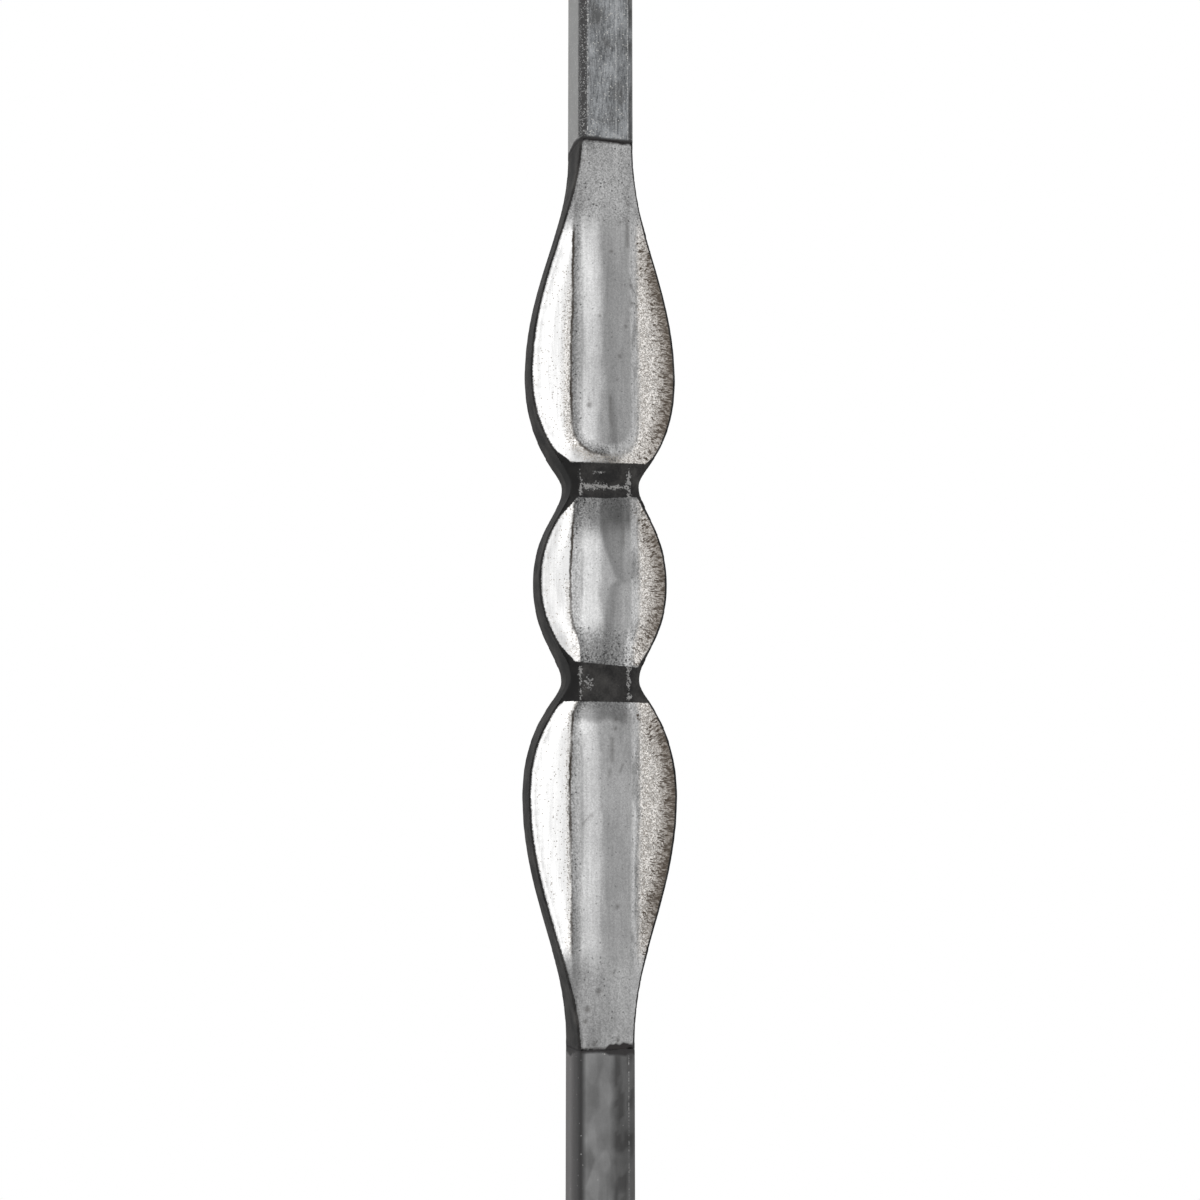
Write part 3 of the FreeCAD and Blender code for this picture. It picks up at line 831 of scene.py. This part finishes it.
    # Specks of dirt, then brown oxide that the grinder missed, in short cuts
    speckle = add(tree, "Math", {0: speckle, 1: wing_share},
                  operation="MULTIPLY").outputs[0]
    steel = add(tree, "Mix", {0: speckle, 6: steel, 7: colour("#8d8780")},
                data_type="RGBA").outputs[2]
    film = add(tree, "Math", {0: missed, 1: 0.78}, operation="MULTIPLY").outputs[0]
    steel = add(tree, "Mix", {0: film, 6: steel, 7: colour("#7b7269")},
                data_type="RGBA").outputs[2]
    steel = add(tree, "Mix", {0: cuts, 6: steel, 7: colour("#544c44")},
                data_type="RGBA").outputs[2]

    # Dirt in the dents, and painted shade with dirt in the crevice, broken by the grit
    gap = add(tree, "Math", {0: rib}, operation="ABSOLUTE").outputs[0]
    gap = add(tree, "Math", {0: grit, 1: 0.8, 2: gap},
              operation="MULTIPLY_ADD").outputs[0]
    dents = add(tree, "Math", {0: dents, 1: 0.75}, operation="MULTIPLY").outputs[0]
    steel = add(tree, "Mix", {0: dents, 6: steel, 7: colour("#4c4a48")},
                data_type="RGBA").outputs[2]
    crevice_dirt_and_shade = add(tree, "MapRange", {
        "Value": gap, "From Min": 0.86, "From Max": 0.56}).outputs["Result"]
    crevice_dirt_and_shade = add(tree, "Math", {0: crevice_dirt_and_shade, 1: crevice}, operation="MULTIPLY").outputs[0]
    steel = add(tree, "Mix", {0: crevice_dirt_and_shade, 6: steel, 7: colour("#3b3733")},
                data_type="RGBA").outputs[2]

    # Scale, knocked off to bright specks along the necks' corners and crease
    blotches = add(tree, "Math", {0: grit, 1: 0.6, 2: patches},
                   operation="MULTIPLY_ADD").outputs[0]
    blotches = add(tree, "MapRange", {
        "Value": blotches, "From Min": 0.66, "From Max": 1.05}).outputs["Result"]
    scale = add(tree, "Mix", {0: blotches, 6: colour("#1b1a1a"), 7: colour("#474543")},
                data_type="RGBA").outputs[2]
    # Painted shade: the scale is darkened to near black in the necks' left hollows
    neck_shade_share = add(tree, "Math", {0: neck_side_shade, 1: 0.95}, operation="MULTIPLY").outputs[0]
    scale = add(tree, "Mix", {0: neck_shade_share, 6: scale, 7: colour("#0b0a0a")},
                data_type="RGBA").outputs[2]
    chips = add(tree, "SeparateColor", {"Color": cells}).outputs[2]
    speck = add(tree, "Math", {0: chips, 1: 0.9, 2: knocked},
                operation="MULTIPLY_ADD").outputs[0]
    speck = add(tree, "Math", {0: grit, 1: 1.1, 2: speck},
                operation="MULTIPLY_ADD").outputs[0]
    speck = add(tree, "MapRange", {
        "Value": speck, "From Min": 1.58, "From Max": 1.86}).outputs["Result"]
    scale = add(tree, "Mix", {0: speck, 6: scale, 7: colour("#b4b3b2")},
                data_type="RGBA").outputs[2]

    ragged = add(tree, "Math", {0: grit, 1: 0.6, 2: ground},
                 operation="MULTIPLY_ADD").outputs[0]
    bare = add(tree, "MapRange", {
        "Value": ragged, "From Min": 0.20, "From Max": 0.42},
        interpolation_type="SMOOTHSTEP").outputs["Result"]
    skin = add(tree, "Mix", {0: bare, 6: scale, 7: steel},
               data_type="RGBA").outputs[2]
    seam = add(tree, "MapRange", {
        "Value": weld, "From Min": 0.75, "From Max": 0.25}).outputs["Result"]
    seamed = add(tree, "Mix", {0: seam, 6: skin, 7: colour("#353333")},
                 data_type="RGBA").outputs[2]
    tree.links.new(seamed, shader.inputs["Base Color"])

    metal = add(tree, "Math", {0: bare, 1: speck}, operation="MAXIMUM").outputs[0]
    tree.links.new(metal, shader.inputs["Metallic"])
    polish = add(tree, "MapRange", {
        "Value": coarse.outputs[0], "To Min": 0.20, "To Max": 0.52}).outputs["Result"]
    rough = add(tree, "Mix", {0: bare, 2: 0.94, 3: polish}).outputs[0]
    tree.links.new(rough, shader.inputs["Roughness"])
    relief = add(tree, "Math", {0: grit, 1: coarse.outputs[0]},
                 operation="MULTIPLY").outputs[0]
    relief = add(tree, "Math", {0: brushing, 1: 0.25, 2: relief},
                 operation="MULTIPLY_ADD").outputs[0]
    bump = add(tree, "Bump", {
        "Height": relief, "Distance": 0.08 * MM, "Strength": 0.6}).outputs["Normal"]
    tree.links.new(bump, shader.inputs["Normal"])
    return material


def thin_line(tree, across, at, width, gaps):
    """A thin line along the bar at one place across it, for a painted glint.

    It breaks where gaps, a field of about 0.5, is high.
    """
    away = add(tree, "Math", {0: across, 1: at}, operation="SUBTRACT").outputs[0]
    away = add(tree, "Math", {0: away}, operation="ABSOLUTE").outputs[0]
    away = add(tree, "Math", {0: gaps, 1: width * 5.0, 2: away},
               operation="MULTIPLY_ADD").outputs[0]
    return add(tree, "MapRange", {
        "Value": away, "From Min": width * 2.9, "From Max": width * 2.0}).outputs["Result"]


def mill_bar(name, pale, dark, side_tone, strip_pale, fineness, band_edge, glint_lines):
    """Hot-rolled square bar as it leaves the mill.

    A thin grey mill scale, dull, with a darker strip of matt oxide along one
    corner, whose palest tone is strip_pale. fineness is how sharply the marks
    show, and band_edge how wide the strip's edge fades. The last argument lists
    the places across the face where a glint is painted as a thin bright line
    along the bar, with each line's width.
    """
    material, tree, shader = new_material(name)
    mm = millimetres(tree)
    from_left, hand, weld, on_side, sawn, right_blots = fields_of(
        tree, "from_left", "hand", "weld", "on_side", "sawn", "right_blots")
    # Roll marks 0.4 mm apart and 2 mm long, patches 6 mm across, grit of 0.4 mm
    drawn = add(tree, "VectorMath", {0: mm, 1: (2.4, 2.4, 0.45)},
                operation="MULTIPLY").outputs[0]
    rolls = add(tree, "TexNoise", {
        "Vector": drawn, "Scale": 1.0, "Detail": 3.0}).outputs["Fac"]
    patches = add(tree, "TexNoise", {
        "Vector": mm, "Scale": 0.17, "Detail": 3.0}).outputs["Fac"]
    grit = add(tree, "TexNoise", {
        "Vector": mm, "Scale": 2.6, "Detail": 3.0, "Roughness": 0.7}).outputs["Fac"]
    marks = add(tree, "Math", {0: rolls, 1: grit}, operation="ADD").outputs[0]
    mixed = add(tree, "Math", {0: marks, 1: fineness, 2: patches},
                operation="MULTIPLY_ADD").outputs[0]
    mixed = add(tree, "MapRange", {
        "Value": mixed, "From Min": 0.32 + 0.92 * fineness,
        "From Max": 0.68 + 1.08 * fineness}).outputs["Result"]
    tone = add(tree, "Mix", {0: mixed, 6: colour(dark), 7: colour(pale)},
               data_type="RGBA").outputs[2]
    # Plates of scale 3 mm wide and 8 mm tall differ a little in tone
    plate_place = add(tree, "VectorMath", {0: mm, 1: (0.33, 0.33, 0.13)},
                      operation="MULTIPLY").outputs[0]
    plates = add(tree, "TexVoronoi", {
        "Vector": plate_place, "Scale": 1.0, "Smoothness": 0.35},
        feature="SMOOTH_F1").outputs["Color"]
    plates = add(tree, "SeparateColor", {"Color": plates}).outputs[0]
    plates = add(tree, "MapRange", {
        "Value": plates, "To Min": 0.80, "To Max": 1.20}).outputs["Result"]
    tone = add(tree, "VectorMath", {0: tone, "Scale": plates},
               operation="SCALE").outputs[0]
    # A faint brown bloom in the darker patches
    bloom = add(tree, "MapRange", {
        "Value": patches, "From Min": 0.50, "From Max": 0.32,
        "To Max": 0.12 * fineness}).outputs["Result"]
    tone = add(tree, "Mix", {0: bloom, 6: tone, 7: colour("#6d655b")},
               data_type="RGBA").outputs[2]
    plain = add(tree, "Math", {0: on_side, 1: 0.85}, operation="MULTIPLY").outputs[0]
    tone = add(tree, "Mix", {0: plain, 6: tone, 7: colour(side_tone)},
               data_type="RGBA").outputs[2]

    # The strip along the corner, with a few bright specks where it is pitted
    near = add(tree, "Math", {0: grit, 1: 2.4 * fineness, 2: from_left},
               operation="MULTIPLY_ADD").outputs[0]
    strip = add(tree, "MapRange", {
        "Value": near, "From Min": 1.2 * fineness - band_edge,
        "From Max": 1.2 * fineness + band_edge}).outputs["Result"]
    flecks = scattered_dots(tree, mm, 2.6, 0.45 * fineness ** 2, 0.52)
    flecks = add(tree, "Math", {0: flecks, 1: strip}, operation="MULTIPLY").outputs[0]
    strip_tone = add(tree, "Mix", {
        0: grit, 6: colour("#2d2c2c"), 7: colour(strip_pale)}, data_type="RGBA").outputs[2]
    tone = add(tree, "Mix", {0: strip, 6: tone, 7: strip_tone},
               data_type="RGBA").outputs[2]
    tone = add(tree, "Mix", {0: flecks, 6: tone, 7: colour("#a2a2a1")},
               data_type="RGBA").outputs[2]
    # Bright specks, few along the bar and crowded beside the weld
    by_weld = add(tree, "MapRange", {
        "Value": weld, "From Min": 2.2, "From Max": 1.0, "To Min": 0.10 * fineness ** 2,
        "To Max": 0.45 * fineness}).outputs["Result"]
    specks = scattered_dots(tree, mm, 2.4, by_weld, 0.50)
    tone = add(tree, "Mix", {0: specks, 6: tone, 7: colour("#b6b5b2")},
               data_type="RGBA").outputs[2]
    blotched = add(tree, "Math", {0: right_blots, 1: 0.75},
                   operation="MULTIPLY").outputs[0]
    tone = add(tree, "Mix", {0: blotched, 6: tone, 7: colour("#333232")},
               data_type="RGBA").outputs[2]
    # Painted highlights: thin bright glint lines along the bar
    for at, width in glint_lines:
        line = thin_line(tree, hand, at, width, grit)
        tone = add(tree, "Mix", {0: line, 6: tone, 7: colour("#c9c9c8")},
                   data_type="RGBA").outputs[2]

    # The sawn end is bare and bright, with saw marks 0.5 mm apart
    across = add(tree, "VectorMath", {0: mm, 1: (0.12, 2.0, 1.0)},
                 operation="MULTIPLY").outputs[0]
    saw_marks = add(tree, "TexNoise", {
        "Vector": across, "Scale": 1.0, "Detail": 3.0, "Roughness": 0.7}).outputs["Fac"]
    cut_tone = add(tree, "MapRange", {
        "Value": saw_marks, "From Min": 0.35, "From Max": 0.65}).outputs["Result"]
    cut_tone = add(tree, "Mix", {
        0: cut_tone, 6: colour("#8b8a89"), 7: colour("#b9b9b8")}, data_type="RGBA").outputs[2]
    tone = add(tree, "Mix", {0: sawn, 6: tone, 7: cut_tone},
               data_type="RGBA").outputs[2]

    seam = add(tree, "MapRange", {
        "Value": weld, "From Min": 0.95, "From Max": 0.35}).outputs["Result"]
    seamed = add(tree, "Mix", {0: seam, 6: tone, 7: colour("#353333")},
                 data_type="RGBA").outputs[2]
    tree.links.new(seamed, shader.inputs["Base Color"])
    # The strip and the seam are thick matt oxide, the rest thin scale on metal
    oxide = add(tree, "Math", {0: strip, 1: seam}, operation="MAXIMUM").outputs[0]
    metal = add(tree, "Math", {0: 1.0, 1: oxide}, operation="SUBTRACT").outputs[0]
    tree.links.new(metal, shader.inputs["Metallic"])
    rough = add(tree, "MapRange", {
        "Value": grit, "To Min": 0.58, "To Max": 0.44}).outputs["Result"]
    rough = add(tree, "Mix", {0: oxide, 2: rough, 3: 0.90}).outputs[0]
    tree.links.new(rough, shader.inputs["Roughness"])
    bump = add(tree, "Bump", {
        "Height": marks, "Distance": 0.05 * MM, "Strength": 0.5}).outputs["Normal"]
    tree.links.new(bump, shader.inputs["Normal"])
    return material


def pale_floor():
    """Matt painted board, nearly white."""
    material, tree, shader = new_material("matt_white_board")
    place = add(tree, "TexCoord").outputs["Object"]
    mottle = add(tree, "TexNoise", {
        "Vector": place, "Scale": 6.0, "Detail": 2.0}).outputs["Fac"]
    tone = add(tree, "Mix", {
        0: mottle, 6: colour("#e9e9e7"), 7: colour("#e4e4e2")}, data_type="RGBA").outputs[2]
    tree.links.new(tone, shader.inputs["Base Color"])
    shader.inputs["Roughness"].default_value = 0.85
    return material


# The three pieces

centre = skin_over("forged_centre", "forged_centre_skin", CENTRE_GRAIN)
shape_centre(centre)
centre.data.materials.append(forged_steel())

upper = skin_over("upper_bar", "upper_bar_skin", BAR_GRAIN)
shape_bar(upper, HALF_LENGTH, band_on_side=2.8, side_slope=1.0, band_on_front=1.6,
          dark_on_right=1.6)
upper.data.materials.append(mill_bar(
    "hot_rolled_bar_grey", pale="#949698", dark="#585a5c", side_tone="#8c8c8b",
    strip_pale="#5c5b5b", fineness=1.0, band_edge=0.25,
    glint_lines=((-5.2, 0.24), (2.3, 0.17), (5.4, 0.22))))

lower = skin_over("lower_bar", "lower_bar_skin", BAR_GRAIN)
shape_bar(lower, -HALF_LENGTH, band_on_side=5.0, side_slope=0.20, band_on_front=1.0,
          dark_on_right=6.6)
lower.data.materials.append(mill_bar(
    "hot_rolled_bar_dark", pale="#838383", dark="#6f6f6f", side_tone="#5b5858",
    strip_pale="#484747", fineness=0.15, band_edge=0.7, glint_lines=((5.2, 0.07),)))

for piece, node, slot in ((centre, "forged_centre", "forged_steel"),
                          (upper, "upper_bar", "mill_steel"),
                          (lower, "lower_bar", "mill_steel")):
    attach(piece, "root")
    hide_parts(node)

# Floor

FLOOR_RADIUS_M = 1.3
bpy.ops.object.select_all(action="DESELECT")
bpy.ops.mesh.primitive_circle_add(vertices=192, radius=FLOOR_RADIUS_M, fill_type="NGON",
                                  location=(0, 0, cad_low.z))
floor = bpy.context.object
floor.name = "floor"
floor.data.materials.append(pale_floor())

# Camera, fitted to the outline in the photograph

CAMERA_TURN = math.radians(15.73)
CAMERA_RISE = math.radians(-7.262)
CAMERA_DISTANCE_M = 0.450
CAMERA_LENS = 54.007
AIM_BELOW_MIDDLE = 3.98
aim = Vector((0, 0, (MIDDLE - AIM_BELOW_MIDDLE) * MM))
camera_data = bpy.data.cameras.new("camera")
camera_data.lens = CAMERA_LENS
camera_data.clip_start = 0.01
camera = bpy.data.objects.new("camera", camera_data)
bpy.context.scene.collection.objects.link(camera)
camera.location = aim + CAMERA_DISTANCE_M * Vector((
    -math.sin(CAMERA_TURN) * math.cos(CAMERA_RISE),
    -math.cos(CAMERA_TURN) * math.cos(CAMERA_RISE),
    math.sin(CAMERA_RISE)))
camera.rotation_euler = (aim - camera.location).to_track_quat("-Z", "Y").to_euler()
bpy.context.scene.camera = camera


def soft_box(name, turn, rise, distance, wide, tall, radiance):
    """Hang an area lamp round the centre piece, turned towards it.

    turn is from the front towards the right and rise is above level, both in
    degrees; distance, wide and tall are in metres; radiance is how bright its
    face is, where 1 is a white surface.
    """
    lamp = bpy.data.lights.new(name, "AREA")
    lamp.shape = "RECTANGLE"
    lamp.size = wide
    lamp.size_y = tall
    lamp.energy = radiance * math.pi * wide * tall
    hung = bpy.data.objects.new(name, lamp)
    bpy.context.scene.collection.objects.link(hung)
    level = math.radians(turn)
    above = math.radians(rise)
    middle = Vector((0, 0, MIDDLE * MM))
    hung.location = middle + distance * Vector((
        math.sin(level) * math.cos(above), -math.cos(level) * math.cos(above), math.sin(above)))
    hung.rotation_euler = (middle - hung.location).to_track_quat("-Z", "Y").to_euler()
    hung.visible_camera = False


soft_box("key_box", turn=-18, rise=8, distance=1.5, wide=1.0, tall=1.4, radiance=1.0)
soft_box("fill_box", turn=-70, rise=15, distance=1.8, wide=0.9, tall=1.2, radiance=0.25)

# World: an even pale room for light, white where a camera or metal looks

world = bpy.data.worlds.new("studio")
bpy.context.scene.world = world
world.use_nodes = True
room = world.node_tree
room.nodes.clear()
ray = add(room, "LightPath").outputs
seen = add(room, "Math", {0: ray["Is Camera Ray"], 1: ray["Is Glossy Ray"]},
           operation="MAXIMUM").outputs[0]
seen = add(room, "Math", {0: seen, 1: ray["Is Transmission Ray"]},
           operation="MAXIMUM").outputs[0]
even_light = add(room, "Background", {"Color": colour("#e6e7e9"), "Strength": 0.75})
white_wall = add(room, "Background", {"Color": (1, 1, 1, 1), "Strength": 1.0})
wall = add(room, "MixShader", {
    0: seen, 1: even_light.outputs[0], 2: white_wall.outputs[0]})
add(room, "OutputWorld", {"Surface": wall.outputs[0]})

bpy.context.scene.view_settings.view_transform = "Standard"
